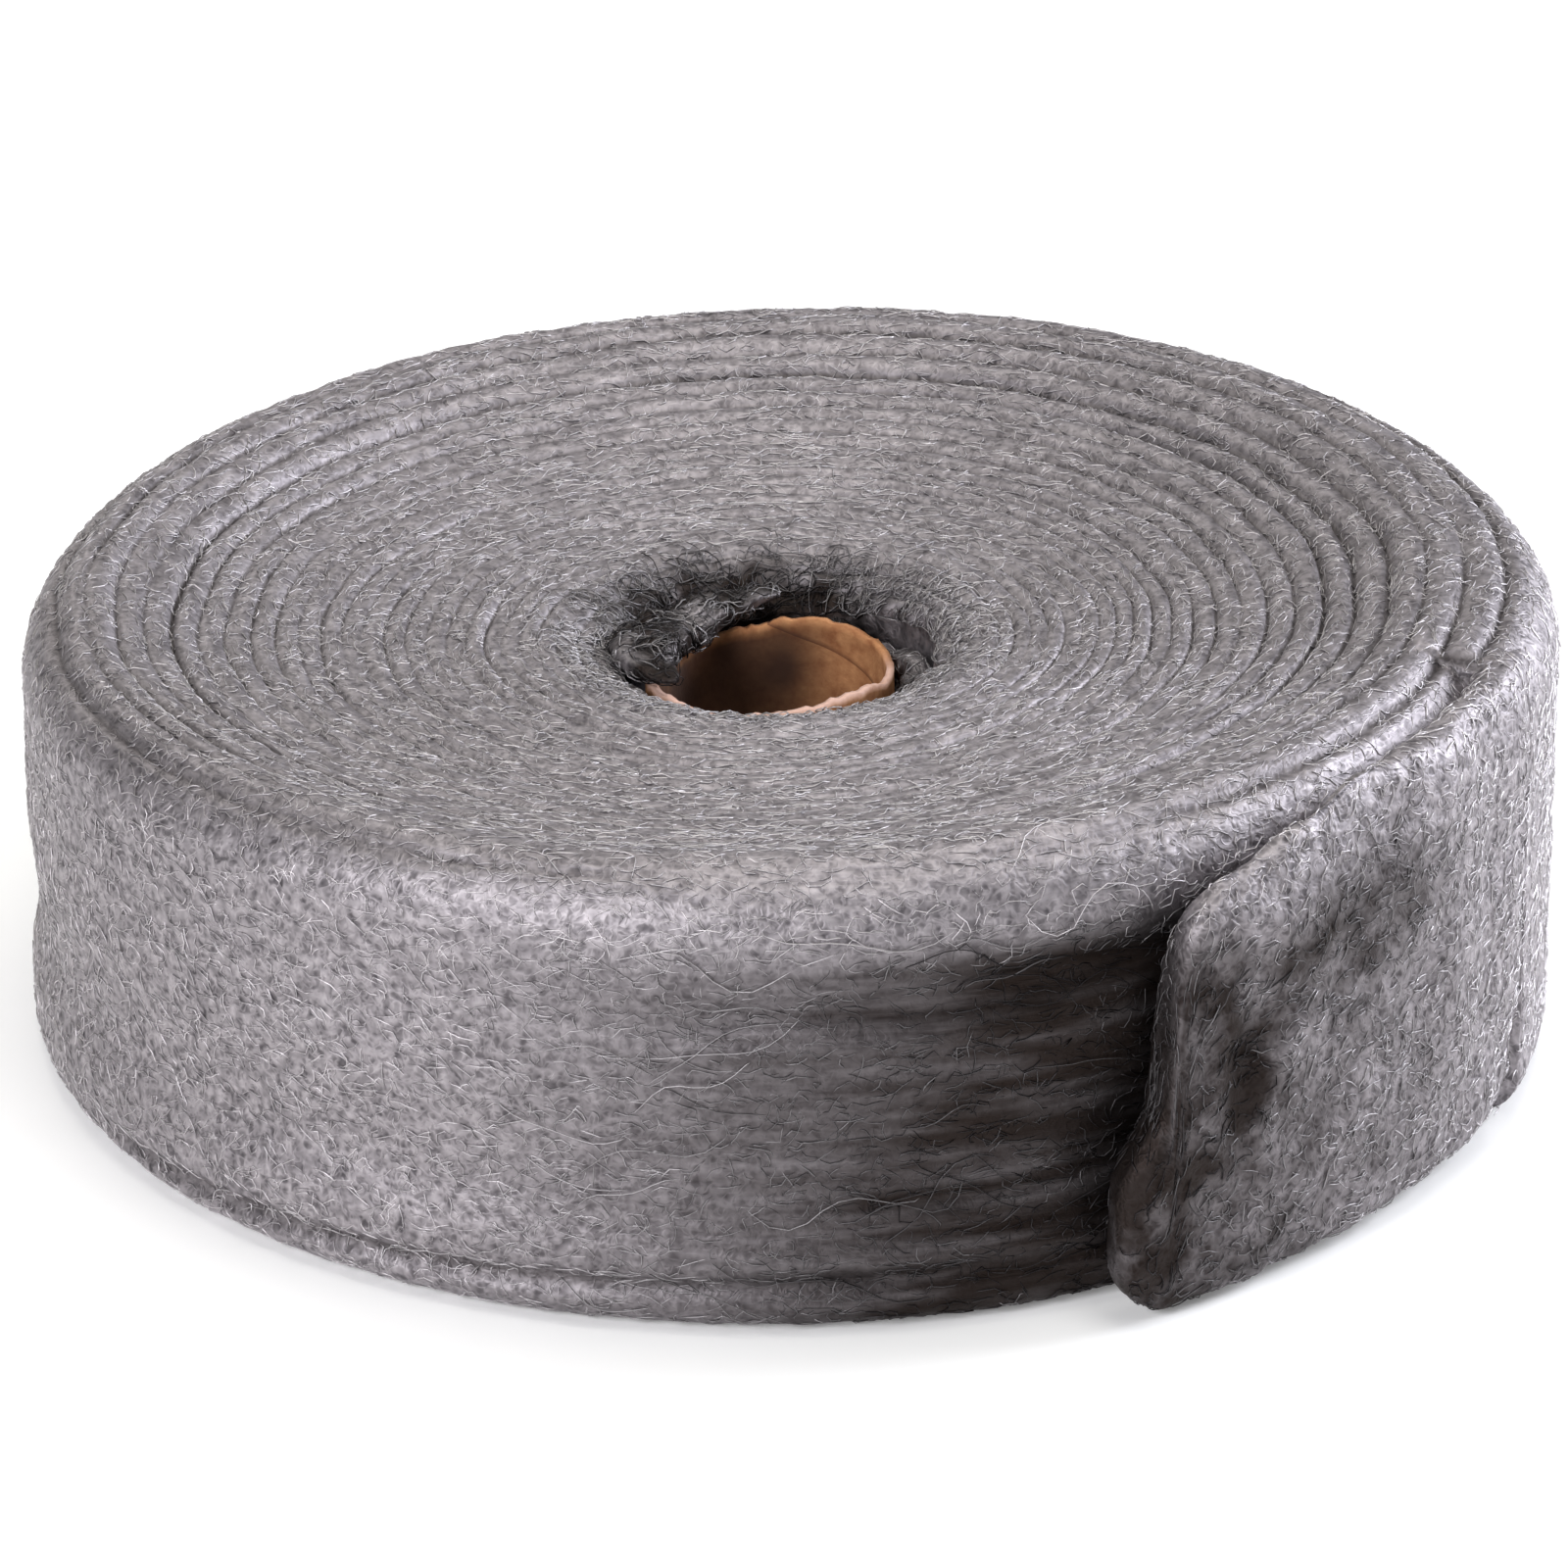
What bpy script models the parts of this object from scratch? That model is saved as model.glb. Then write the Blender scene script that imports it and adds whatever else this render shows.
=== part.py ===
# Steel wool roll: a flat ribbon of steel wool wound on a crushed cardboard tube, standing on its end.
# Metres, +Z up. The origin lies under the middle of the roll's outline, on the surface it stands on.
# Azimuths are in degrees, anticlockwise from +X as seen from above. The ribbon winds outward clockwise.

import math

import bmesh
import bpy
from mathutils import Vector

# Ribbon and winding
RIBBON_WIDTH = 0.100          # the roll's height while it stands on its end
OUTER_RADIUS = 0.1626         # axis to the outside of the last turn, where the loose end leaves it
TIGHT_TURN = 0.0036           # thickness of a turn beside the core
SLACK_TURN = 0.0084           # thickness of the last turn
SLACKENING = 3.7              # how late the turns grow slack; 1 would be evenly
SEAM_AZIMUTH = -20.0          # where the winding ends and only the loose end goes on
RIGHT_RISE = 0.005            # how much higher the ribbon stands on the right, and lower on the left
TURN_SHIFT = 0.005            # how far the middle turns sit to the left, being slacker on the right
AXIS_LEFT = 0.0028            # the winding's axis lies left of and before the middle of the outline,
AXIS_BEFORE = 0.0020          # as the roll is thicker where its outer turns end

# Both faces and the side
DISH_DEPTH = 0.0145           # fall of the upper face from its crest to the hole
UNDER_DISH = 0.0075           # the same for the lower face, before the roll's weight pressed it flat
PRESSED = 0.0044              # how much of the lower face is pressed flat
FUNNEL_DEPTH = 0.006          # further fall of the upper face at the core
FUNNEL_REACH = 0.015
HOLLOW_DEPTH = 0.006          # the hollow in the wool behind the tube
HOLLOW_REACH = 0.017
HOLLOW_AZIMUTH = 95.0
HOLLOW_SPREAD = 75.0          # how far it reaches round the hole, in degrees each way
SHOULDER_RADIUS = 0.015
FOOT_RADIUS = 0.008
GROOVE_SHARE = 0.4            # depth of the groove between turns over a turn's thickness
PARTED_TURN = 21.3            # turns from the hole to the place where two turns have parted
PARTED_REACH = 0.8            # how far along the winding they are parted, in turns each way
PARTED_DEPTH = 0.0022         # further depth of the groove there
WAIST_DEPTH = 0.0022          # the side is pinched in a little near its foot
WAIST_HEIGHT = 0.030
WAIST_BELOW = 0.014           # how far the waist reaches down and up
WAIST_ABOVE = 0.028
ROWS_OVER = (0.25, 0.5, 0.75)       # rows of points from the shoulder down to the waist, as shares
ROWS_ABOVE = (1.0, 0.6, 0.3, 0.0)   # rows in the waist, as shares of its reach
ROWS_BELOW = (0.4, 0.8, 1.2)
CREASE_FADE = 0.25            # share of a crease's length over which it fades in, and out

# Creases along the side: first and last azimuth, height at each, depth, reach up and down
CREASES = [
    (-165.0, -58.0, 0.0060, 0.0130, 0.0016, 0.0045),
    (-104.0, -50.0, 0.0680, 0.0760, 0.0026, 0.0090),
]

# Loose end of the ribbon
SLACK_AZIMUTH = 25.0          # azimuth where the last turn starts to swell, being no longer held
SWOLLEN_AZIMUTH = -7.0
LIFT_AZIMUTH = -27.0          # azimuth where its inner side starts to lift off
BEND_AZIMUTH = -42.0          # azimuth where it starts to bend away from the roll
TIP_AZIMUTH = -67.0
LOOSE_THICKNESS = 0.012
LOOSE_SWELL = 0.0024          # how far the last turn swells
LOOSE_GAP = 0.0035            # width of the gap behind it, at the tip
ROOT_DEPTH = 0.003            # depth of its root below the last turn's surface
LOOSE_EDGE = 0.0008           # its lowest place over the floor
LOW_SHARE = 0.012             # its lower and upper edge, as shares of the ribbon's width
HIGH_SHARE = 0.97
INSET_SHARE = 0.12            # how far its root's edges are drawn in, as a share of that width
SIDE_EXPONENT = 0.4           # form of its section: 1 is an ellipse, less has flatter sides
EDGE_EXPONENT = 0.8

# Core
TUBE_BORE = 0.0508            # inner diameter before the tube was crushed
TUBE_WALL = 0.0016
TUBE_LENGTH = 0.078
TUBE_LIFT = 0.0025            # the tube's lower end over the floor
TUBE_FILLET = 0.009           # length of flat lost to each soft corner
FIT_GAP = 0.0004              # the least gap between tube and wool
PUSH_AZIMUTH = 190.0          # the side to which the tube was pushed in its hole

# Crushed outline of the tube: azimuth and reach of each corner, the reach as a share of the mean
TUBE_CORNERS = [(5.0, 1.00), (49.0, 1.02), (125.0, 0.98), (202.0, 1.01), (250.0, 1.15), (300.0, 0.95)]

# Torn end of the ribbon: distance from the tip, lower and upper edge and thickness,
# as shares of the ribbon's width and of the loose end's thickness
TORN_END = [
    (0.000, 0.120, 0.28, 0.35),
    (0.018, 0.070, 0.34, 0.62),
    (0.055, 0.030, 0.39, 0.80),
    (0.100, 0.008, 0.47, 0.88),
    (0.125, 0.004, 0.84, 0.92),
    (0.200, 0.006, 0.92, 1.00),
    (0.340, 0.012, 0.97, 1.00),
]

# Facets
SEGMENTS = 45                 # steps round the winding
CORNER_STEPS = 4              # points on the shoulder and on the foot
BORE_ROWS = 3
ROOT_STEPS = 3                # of the steps round the winding, those that hold the loose end's root
FLAP_STEPS = 5                # steps from the winding's end to the torn part
FLAP_POINTS = 14              # points round a section of the loose end
FILLET_STEPS = 5
FLAT_STEPS = 3
TUBE_ROWS = 4
HALVINGS = 40                 # steps in the search for the tube's place
SHARP_ANGLE = math.radians(50)

AXIS = Vector((-AXIS_LEFT, -AXIS_BEFORE, 0.0))


def polar(radius, azimuth, height=0.0):
    turn = math.radians(azimuth)
    return Vector((radius * math.cos(turn), radius * math.sin(turn), height))


def eased(share):
    share = min(max(share, 0.0), 1.0)
    return share * share * (3 - 2 * share)


def settled(point):
    """A point round the axis, moved as the winding is uneven and to where the axis stands."""
    along = (point.xy.length - HOLE_RADIUS) / (OUTER_RADIUS - HOLE_RADIUS)
    shift = TURN_SHIFT * math.sin(math.pi * min(max(along, 0.0), 1.0))
    stretch = 1 + RIGHT_RISE / RIBBON_WIDTH * point.x / OUTER_RADIUS
    return AXIS + Vector((point.x - shift, point.y, point.z * stretch))


# Crushed tube

def corner_curve(before, corner, after):
    """A soft corner as a curve that leaves both flats TUBE_FILLET away from the corner."""
    start = corner + (before - corner).normalized() * TUBE_FILLET
    end = corner + (after - corner).normalized() * TUBE_FILLET
    points = []
    for step in range(FILLET_STEPS + 1):
        share = step / FILLET_STEPS
        points.append(start * (1 - share) ** 2 + corner * 2 * share * (1 - share) + end * share ** 2)
    return points


def closed_length(points):
    return sum((a - b).length for a, b in zip(points, points[1:] + points[:1]))


def tube_outline():
    """Middle of the tube's wall, crushed but as long round as the round tube's."""
    mean_radius = (TUBE_BORE + TUBE_WALL) / 2
    corners = [polar(mean_radius * reach, azimuth) for azimuth, reach in TUBE_CORNERS]
    count = len(corners)
    outline = []
    for index, corner in enumerate(corners):
        curve = corner_curve(corners[index - 1], corner, corners[(index + 1) % count])
        if outline:
            flat = [outline[-1].lerp(curve[0], step / FLAT_STEPS) for step in range(1, FLAT_STEPS)]
            outline += flat
        outline += curve
    outline += [outline[-1].lerp(outline[0], step / FLAT_STEPS) for step in range(1, FLAT_STEPS)]
    growth = math.tau * mean_radius / closed_length(outline)
    return [point * growth for point in outline]


TUBE_OUTLINE = tube_outline()
TUBE_REACH = max(point.length for point in TUBE_OUTLINE) + TUBE_WALL / 2
HOLE_RADIUS = (TUBE_REACH + FIT_GAP) / math.cos(math.pi / SEGMENTS)


# Winding

def growth(share):
    """Radius gained, in turn thicknesses, at a share of the way along the winding."""
    return TIGHT_TURN * share + (SLACK_TURN - TIGHT_TURN) * share ** SLACKENING / SLACKENING


TURNS = round((OUTER_RADIUS - HOLE_RADIUS) / growth(1.0))


def turn_radius(turns):
    """Radius of the ribbon's inner surface after that many turns. It ends at OUTER_RADIUS."""
    build_up = growth(turns / TURNS) / growth(1.0)
    return HOLE_RADIUS + (OUTER_RADIUS - HOLE_RADIUS) * build_up


def groove_depth(turns):
    """Depth of the groove at the ribbon's inner surface after that many turns."""
    outer = max(turns, 1.0)
    parted = eased(1 - abs(turns - PARTED_TURN) / PARTED_REACH)
    return GROOVE_SHARE * (turn_radius(outer) - turn_radius(outer - 1)) + PARTED_DEPTH * parted


def turned(azimuth):
    """Share of a turn wound clockwise from the seam."""
    return (SEAM_AZIMUTH - azimuth) % 360.0 / 360.0


def wall_radius(azimuth):
    return turn_radius(TURNS - 1 + turned(azimuth))


def loosened(azimuth):
    """Share of its swelling that the last turn has at an azimuth near its end."""
    return eased((SLACK_AZIMUTH - azimuth) / (SLACK_AZIMUTH - SWOLLEN_AZIMUTH))


def end_azimuth(share):
    """Azimuth, a share of a turn past the seam, counted on from the last turn's end."""
    return SEAM_AZIMUTH + 360.0 * (1 - share)


def side_radius(share):
    return turn_radius(TURNS - 1 + share) + LOOSE_SWELL * loosened(end_azimuth(share))


def dish(radius):
    """Share of the dish's depth at a radius: 1 at the hole, 0 at the crest and beyond."""
    crest = turn_radius(TURNS - 1) - SHOULDER_RADIUS
    along = min(max((radius - HOLE_RADIUS) / (crest - HOLE_RADIUS), 0.0), 1.0)
    return 1 - along ** 3


def hollow(radius, azimuth):
    away = abs((azimuth - HOLLOW_AZIMUTH + 180.0) % 360.0 - 180.0)
    inward = 1 - (radius - HOLE_RADIUS) / HOLLOW_REACH
    return HOLLOW_DEPTH * eased(inward) * (1 - eased(away / HOLLOW_SPREAD))


def upper_height(radius, azimuth, groove):
    funnel = FUNNEL_DEPTH * max(0.0, 1 - (radius - HOLE_RADIUS) / FUNNEL_REACH) ** 2
    return RIBBON_WIDTH - DISH_DEPTH * dish(radius) - funnel - hollow(radius, azimuth) - groove


def lower_height(radius, azimuth, groove):
    """The lower face is alike all round, so it takes no notice of the azimuth."""
    return max(0.0, UNDER_DISH * dish(radius) - PRESSED + groove)


def rounding(distance, corner):
    """How far a corner's arc has fallen from the face, at a distance in from the side."""
    inward = max(0.0, corner - distance)
    return corner - math.sqrt(corner ** 2 - inward ** 2)


def face_points(share, height, corner, down):
    """One face from the hole out to the side: a groove between turns and a crest on each turn."""
    wall = side_radius(share)
    azimuth = SEAM_AZIMUTH - 360.0 * share
    points = []
    for turns in range(TURNS - 1):
        edge = turn_radius(turns + share)
        crest = (edge + turn_radius(turns + 1 + share)) / 2
        groove = groove_depth(turns + share)
        points.append((edge, height(edge, azimuth, groove) - down * rounding(wall - edge, corner)))
        points.append((crest, height(crest, azimuth, 0.0) - down * rounding(wall - crest, corner)))
    points.pop()
    last_turn = wall - edge
    first = math.asin(max(0.0, 1 - last_turn / corner))
    for step in range(1, CORNER_STEPS + 1):
        angle = first + (math.pi / 2 - first) * step / CORNER_STEPS
        radius = wall - corner * (1 - math.sin(angle))
        level = height(radius, azimuth, 0.0) - down * corner * (1 - math.cos(angle))
        points.append((radius - crease(level, share), level))
    return points


def waist(height, share):
    """Depth of the waist, which the swollen end of the last turn doesn't have."""
    reach = WAIST_ABOVE if height > WAIST_HEIGHT else WAIST_BELOW
    held = 1 - loosened(end_azimuth(share))
    return WAIST_DEPTH * held * (1 - eased(abs(height - WAIST_HEIGHT) / reach))


def crease(height, share):
    """Depth of the creases along the side."""
    depth = 0.0
    for first, last, start, end, deep, reach in CREASES:
        along = (SEAM_AZIMUTH - 360.0 * share - first) / (last - first)
        fade = eased(along / CREASE_FADE) * eased((1 - along) / CREASE_FADE)
        middle = start + (end - start) * along
        depth += deep * fade * (1 - eased(abs(height - middle) / reach))
    return depth


def side_points(share):
    """The side from its shoulder down to its foot, without its two ends."""
    top = RIBBON_WIDTH - SHOULDER_RADIUS
    wall = side_radius(share)
    heights = [top + (WAIST_HEIGHT + WAIST_ABOVE - top) * row for row in ROWS_OVER]
    heights += [WAIST_HEIGHT + WAIST_ABOVE * row for row in ROWS_ABOVE]
    heights += [WAIST_HEIGHT - WAIST_BELOW * row for row in ROWS_BELOW]
    return [(wall - waist(height, share) - crease(height, share), height) for height in heights]


def winding_section(share):
    """Closed section of all turns, a share of a turn past the seam, clockwise from the hole's top."""
    upper = face_points(share, upper_height, SHOULDER_RADIUS, 1)
    lower = face_points(share, lower_height, FOOT_RADIUS, -1)
    hole, top = upper[0]
    base = lower[0][1]
    bore = [(hole, base + (top - base) * row / BORE_ROWS) for row in range(1, BORE_ROWS)]
    return upper + side_points(share) + lower[::-1] + bore + upper[:1]


def winding_mesh():
    """A sheet rolled round the axis, so that each groove meets the next one out at the seam."""
    sections = [winding_section(step / SEGMENTS) for step in range(SEGMENTS + 1)]
    rows = len(sections[0]) - 1
    bm = bmesh.new()
    bmesh.ops.create_grid(bm, x_segments=SEGMENTS, y_segments=rows, size=0.5)
    for vertex in bm.verts:
        step = round((vertex.co.x + 0.5) * SEGMENTS)
        row = round((vertex.co.y + 0.5) * rows)
        radius, height = sections[step][row]
        vertex.co = settled(polar(radius, SEAM_AZIMUTH - 360.0 * step / SEGMENTS, height))
    bmesh.ops.remove_doubles(bm, verts=bm.verts[:], dist=1e-6)
    bmesh.ops.holes_fill(bm, edges=[edge for edge in bm.edges if edge.is_boundary], sides=0)
    return finished_mesh(bm, "wool_roll")


# Loose end

def loose_sections():
    """Azimuth, inner and outer radius, lower and upper edge of each section, from root to tip."""
    tip_radius = wall_radius(TIP_AZIMUTH)
    torn = []
    for distance, low, high, thick in reversed(TORN_END):
        azimuth = TIP_AZIMUTH + math.degrees(distance * RIBBON_WIDTH / tip_radius)
        torn.append((azimuth, low, high, thick))
    first = torn[0][0]
    whole = []
    for step in range(ROOT_STEPS, 0, -1):
        # The root's edges lie inside the winding's rounded corners.
        inset = INSET_SHARE * step / ROOT_STEPS
        azimuth = SEAM_AZIMUTH + 360.0 * step / SEGMENTS
        whole.append((azimuth, LOW_SHARE + inset, HIGH_SHARE - inset, 1.0))
    for step in range(FLAP_STEPS):
        azimuth = SEAM_AZIMUTH + (first - SEAM_AZIMUTH) * step / FLAP_STEPS
        whole.append((azimuth, LOW_SHARE, HIGH_SHARE, 1.0))
    return whole + torn


def loose_radii(azimuth, thick):
    """Inner and outer radius: rising through the last turn's surface, then lifted and bent away."""
    spiral = turn_radius(TURNS + (SEAM_AZIMUTH - azimuth) / 360.0)
    under = turn_radius(TURNS - 1 + (SEAM_AZIMUTH - azimuth) / 360.0)
    lift = eased((LIFT_AZIMUTH - azimuth) / (LIFT_AZIMUTH - TIP_AZIMUTH))
    inner = under - ROOT_DEPTH + (ROOT_DEPTH + LOOSE_GAP) * lift
    root_share = (azimuth - SEAM_AZIMUTH) / (360.0 * ROOT_STEPS / SEGMENTS)
    outer = spiral + LOOSE_SWELL * loosened(azimuth) - ROOT_DEPTH * max(0.0, root_share)
    bend = eased((BEND_AZIMUTH - azimuth) / (BEND_AZIMUTH - TIP_AZIMUTH))
    outer += (wall_radius(TIP_AZIMUTH) + LOOSE_GAP + LOOSE_THICKNESS - outer) * bend
    middle = (inner + outer) / 2
    half = (outer - inner) / 2 * thick
    return middle - half, middle + half


def loose_ring(azimuth, low, high, thick):
    """A section of the loose end: a flat slab with round edges."""
    inner, outer = loose_radii(azimuth, thick)
    base = LOOSE_EDGE + low * RIBBON_WIDTH
    top = LOOSE_EDGE + high * RIBBON_WIDTH
    middle = Vector(((inner + outer) / 2, (base + top) / 2))
    points = []
    for index in range(FLAP_POINTS):
        angle = math.tau * (index + 0.5) / FLAP_POINTS
        across = math.copysign(abs(math.cos(angle)) ** EDGE_EXPONENT, math.cos(angle))
        along = math.copysign(abs(math.sin(angle)) ** SIDE_EXPONENT, math.sin(angle))
        radius = middle.x + across * (outer - inner) / 2
        height = middle.y + along * (top - base) / 2
        points.append(settled(polar(radius, azimuth, height)))
    return points


def loose_end_mesh():
    """A loft through the sections from root to tip, closed at both ends."""
    bm = bmesh.new()
    loops = []
    for section in loose_sections():
        ring = [bm.verts.new(point) for point in loose_ring(*section)]
        loops.append([bm.edges.new((a, b)) for a, b in zip(ring, ring[1:] + ring[:1])])
    for near, far in zip(loops, loops[1:]):
        bmesh.ops.bridge_loops(bm, edges=near + far)
    bmesh.ops.holes_fill(bm, edges=loops[0] + loops[-1], sides=0)
    return finished_mesh(bm, "loose_end")


# Core

def wool_gap(offset):
    """Least gap between the tube, moved by offset, and the hole in the wool."""
    gaps = []
    for point in TUBE_OUTLINE:
        corner = point + offset
        azimuth = math.degrees(math.atan2(corner.y, corner.x))
        facet = math.cos(math.pi / SEGMENTS)
        hole = turn_radius(turned(azimuth)) * facet
        gaps.append(hole - corner.length - TUBE_WALL / 2)
    return min(gaps)


def tube_offset():
    """The tube is pushed to the left and the front until it is FIT_GAP from the wool."""
    direction = polar(1.0, PUSH_AZIMUTH)
    near, far = 0.0, HOLE_RADIUS
    for _ in range(HALVINGS):
        middle = (near + far) / 2
        if wool_gap(direction * middle) > FIT_GAP:
            near = middle
        else:
            far = middle
    return direction * near


def tube_mesh():
    """The crushed outline drawn up to the tube's length, as a sheet that is later thickened."""
    bm = bmesh.new()
    ring = [bm.verts.new(point) for point in TUBE_OUTLINE]
    edges = [bm.edges.new((a, b)) for a, b in zip(ring, ring[1:] + ring[:1])]
    for _ in range(TUBE_ROWS):
        row = bmesh.ops.extrude_edge_only(bm, edges=edges)["geom"]
        edges = [item for item in row if isinstance(item, bmesh.types.BMEdge)]
        raised = [item for item in row if isinstance(item, bmesh.types.BMVert)]
        bmesh.ops.translate(bm, verts=raised, vec=(0, 0, TUBE_LENGTH / TUBE_ROWS))
    return finished_mesh(bm, "core_tube")


# Objects

def finished_mesh(bm, name):
    bmesh.ops.recalc_face_normals(bm, faces=bm.faces[:])
    mesh = bpy.data.meshes.new(name)
    bm.to_mesh(mesh)
    bm.free()
    mesh.shade_smooth()
    mesh.set_sharp_from_angle(angle=SHARP_ANGLE)
    return mesh


def plain_material(name, colour, roughness, metallic):
    material = bpy.data.materials.new(name)
    material.use_nodes = True
    shader = material.node_tree.nodes["Principled BSDF"]
    shader.inputs["Base Color"].default_value = (*colour, 1.0)
    shader.inputs["Roughness"].default_value = roughness
    shader.inputs["Metallic"].default_value = metallic
    return material


def placed(name, mesh, collection, material=None):
    thing = bpy.data.objects.new(name, mesh)
    collection.objects.link(thing)
    if material:
        mesh.materials.append(material)
    return thing


def wool_roll(collection, guides):
    """All turns of the ribbon as one solid, with its loose end joined to the last turn."""
    wool = plain_material("steel_wool", (0.30, 0.29, 0.30), 0.6, 0.7)
    roll = placed("wool_roll", winding_mesh(), collection, wool)
    loose_end = placed("loose_end", loose_end_mesh(), guides)
    loose_end.hide_render = True
    loose_end.display_type = "WIRE"
    join = roll.modifiers.new("loose end", "BOOLEAN")
    join.operation = "UNION"
    join.solver = "EXACT"
    join.object = loose_end
    return roll


def core_tube(collection):
    kraft = plain_material("kraft_board", (0.46, 0.27, 0.15), 0.85, 0.0)
    tube = placed("core_tube", tube_mesh(), collection, kraft)
    tube.location = AXIS + tube_offset() + Vector((0, 0, TUBE_LIFT))
    wall = tube.modifiers.new("wall", "SOLIDIFY")
    wall.thickness = TUBE_WALL
    wall.offset = 0.0
    wall.use_even_offset = True
    return tube


def main():
    for thing in list(bpy.data.objects):
        bpy.data.objects.remove(thing, do_unlink=True)
    parts = bpy.data.collections.new("steel_wool_roll")
    guides = bpy.data.collections.new("guides")
    bpy.context.scene.collection.children.link(parts)
    bpy.context.scene.collection.children.link(guides)
    wool_roll(parts, guides)
    core_tube(parts)


main()
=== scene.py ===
import math

import bmesh
import bpy
import numpy as np
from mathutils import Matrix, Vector, noise


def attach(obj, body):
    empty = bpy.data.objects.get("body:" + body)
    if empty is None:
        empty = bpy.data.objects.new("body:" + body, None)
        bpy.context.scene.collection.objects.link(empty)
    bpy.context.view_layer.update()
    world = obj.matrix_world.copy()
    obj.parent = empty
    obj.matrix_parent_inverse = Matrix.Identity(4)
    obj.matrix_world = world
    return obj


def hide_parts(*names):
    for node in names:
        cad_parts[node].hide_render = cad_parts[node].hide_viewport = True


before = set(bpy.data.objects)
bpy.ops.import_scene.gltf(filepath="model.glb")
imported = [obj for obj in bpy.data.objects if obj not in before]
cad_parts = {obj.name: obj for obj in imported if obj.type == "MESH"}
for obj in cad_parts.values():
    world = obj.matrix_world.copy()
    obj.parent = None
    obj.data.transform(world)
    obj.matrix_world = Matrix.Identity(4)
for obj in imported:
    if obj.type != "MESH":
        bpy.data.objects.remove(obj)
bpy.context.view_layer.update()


# Camera: about 1.9 m away, 24.6 degrees above the horizon, with a long lens.
camera = bpy.data.objects.new("camera", bpy.data.cameras.new("camera"))
bpy.context.collection.objects.link(camera)
camera.location = (-0.0010, -1.74636, 0.84787)
camera.rotation_euler = (math.radians(65.424), 0.0, 0.0)
camera.data.type = "PERSP"
camera.data.sensor_width = 36.0
camera.data.lens = 207.0
camera.data.clip_start = 0.05
camera.data.clip_end = 50.0
bpy.context.scene.camera = camera
bpy.context.scene.view_settings.view_transform = "Standard"

# Light: large soft lamps on the left of the front, on the right, above, low behind, and a weak one
# above the front. The side beside the loose end lies in the shade between the first two.
ROLL_MIDDLE = Vector((0.0, 0.0, 0.05))
for name, place, size, power, tint in (
    ("left lamp", (-1.00, -1.42, 0.98), 0.9, 27.0, (1.00, 1.00, 1.03)),
    ("right lamp", (1.75, 0.60, 0.90), 1.0, 42.0, (0.96, 0.99, 1.06)),
    ("top lamp", (0.0, 0.17, 2.04), 1.4, 19.0, (1.03, 1.01, 0.94)),
    ("back lamp", (-0.75, 1.50, 0.95), 1.2, 5.0, (1.03, 1.01, 0.94)),
    ("front lamp", (0.75, -0.78, 1.75), 1.1, 7.0, (1.00, 1.00, 1.00)),
):
    lamp = bpy.data.objects.new(name, bpy.data.lights.new(name, "AREA"))
    bpy.context.collection.objects.link(lamp)
    lamp.location = place
    towards = ROLL_MIDDLE - Vector(place)
    lamp.rotation_euler = towards.to_track_quat("-Z", "Y").to_euler()
    lamp.data.shape = "DISK"
    lamp.data.size = size
    lamp.data.energy = power
    lamp.data.color = tint

world = bpy.data.worlds.new("surround")
bpy.context.scene.world = world
world.use_nodes = True
shell = world.node_tree.nodes["Background"]
shell.inputs["Color"].default_value = (1.0, 1.0, 1.0, 1.0)
shell.inputs["Strength"].default_value = 0.12


# Floor: a plain white sheet. It shows as white to the camera and in reflections, and keeps the
# roll's soft shadow.
def colour(code):
    """An sRGB hex colour as linear values."""
    values = [int(code[i : i + 2], 16) / 255 for i in (1, 3, 5)]
    return [v / 12.92 if v <= 0.04045 else ((v + 0.055) / 1.055) ** 2.4 for v in values] + [1.0]


def add_node(tree, kind, values=(), **settings):
    """A new node. values sets sockets by name or number, to a number, a colour or another socket."""
    item = tree.nodes.new(kind)
    for key, value in settings.items():
        setattr(item, key, value)
    for key, value in dict(values).items():
        if isinstance(value, bpy.types.NodeSocket):
            tree.links.new(value, item.inputs[key])
        else:
            item.inputs[key].default_value = value
    return item


FLOOR_SIZE = 30.0
FLOOR_LEVEL = -0.0002
FLOOR_GLOW = 0.16

bpy.ops.object.select_all(action="DESELECT")
bpy.ops.mesh.primitive_plane_add(size=FLOOR_SIZE, location=(0, 0, FLOOR_LEVEL))
floor = bpy.context.object
floor.name = "floor"
sheet = bpy.data.materials.new("white paper")
sheet.use_nodes = True
tree = sheet.node_tree
shader = tree.nodes["Principled BSDF"]
shader.inputs["Base Color"].default_value = colour("#f4f4f4")
shader.inputs["Roughness"].default_value = 0.9
shader.inputs["Specular IOR Level"].default_value = 0.0
ray = add_node(tree, "ShaderNodeLightPath").outputs
seen = add_node(tree, "ShaderNodeMath", {0: ray["Is Camera Ray"], 1: ray["Is Glossy Ray"]}, operation="ADD")
seen = add_node(
    tree, "ShaderNodeMath", {0: seen.outputs[0], 1: ray["Is Transmission Ray"]},
    operation="ADD", use_clamp=True,
)
glow = add_node(tree, "ShaderNodeMath", {0: seen.outputs[0], 1: FLOOR_GLOW}, operation="MULTIPLY")
shader.inputs["Emission Color"].default_value = (1, 1, 1, 1)
tree.links.new(glow.outputs[0], shader.inputs["Emission Strength"])
floor.data.materials.append(sheet)


# Core tube: kraft paper wound at a slant and glued into a tube, then crushed by the wool to six soft
# corners. Its upper rim is torn pale, and lower at the back left, and its wall is a little dented.
TUBE_PLACE = (-0.00444, -0.00229)
TUBE_CORNERS = ((5, 1.00), (49, 1.02), (125, 0.98), (202, 1.01), (250, 1.15), (300, 0.95))
TUBE_REACH = 0.02892
TUBE_WALL = 0.0016
TUBE_FOOT = 0.0025
TUBE_TOP = 0.0805
CORNER_BEND = 0.0095
FLAT_CUTS = 20
TUBE_RINGS = 39


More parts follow.
